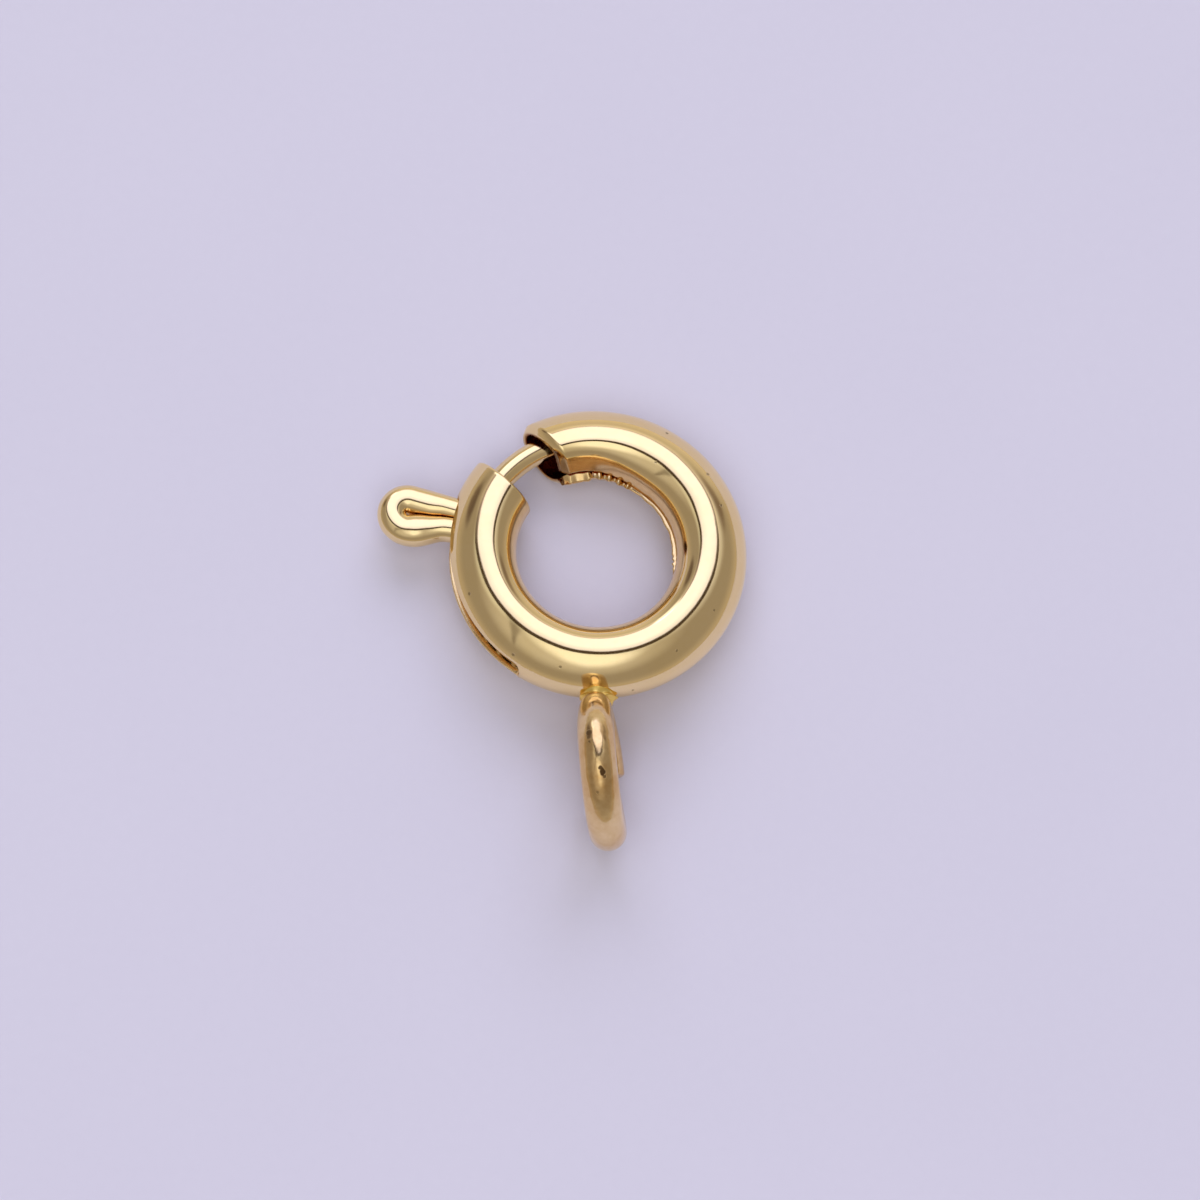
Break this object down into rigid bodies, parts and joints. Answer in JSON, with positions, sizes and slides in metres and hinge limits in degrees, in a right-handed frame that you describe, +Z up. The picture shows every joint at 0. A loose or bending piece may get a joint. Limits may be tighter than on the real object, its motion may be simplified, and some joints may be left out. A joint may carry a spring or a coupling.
{
  "type": "spring ring clasp",
  "caption": "Round hollow clasp ring with a sprung sliding tongue worked by a wire loop trigger, and an open jump ring soldered across it as the bail.",
  "frame": {"origin": "middle of the footprint, on the surface that the clasp lies on", "axes": "+Y from the bail through the ring, +Z up from the surface that it lies on"},
  "size_m": [0.0086, 0.0106, 0.0037],
  "materials": {
    "case": "gold plated and polished",
    "wire": "gold plated and polished",
    "spring": "bright drawn wire"
  },
  "bodies": {
    "case": {"ring_case": "case", "return_spring": "spring"},
    "slider": {"tongue": "wire"}
  },
  "joints": [
    {"name": "trigger_slide", "type": "hinge", "parent": "case", "child": "slider", "pos_m": [0.00079, 0.00179, 0.00118], "axis": [0, 0.1327, 0.9912], "range_deg": [0, 58], "stiffness_Nm_per_rad": 0.0027, "springref_deg": -28.65, "deforming": ["return_spring"]}
  ]
}
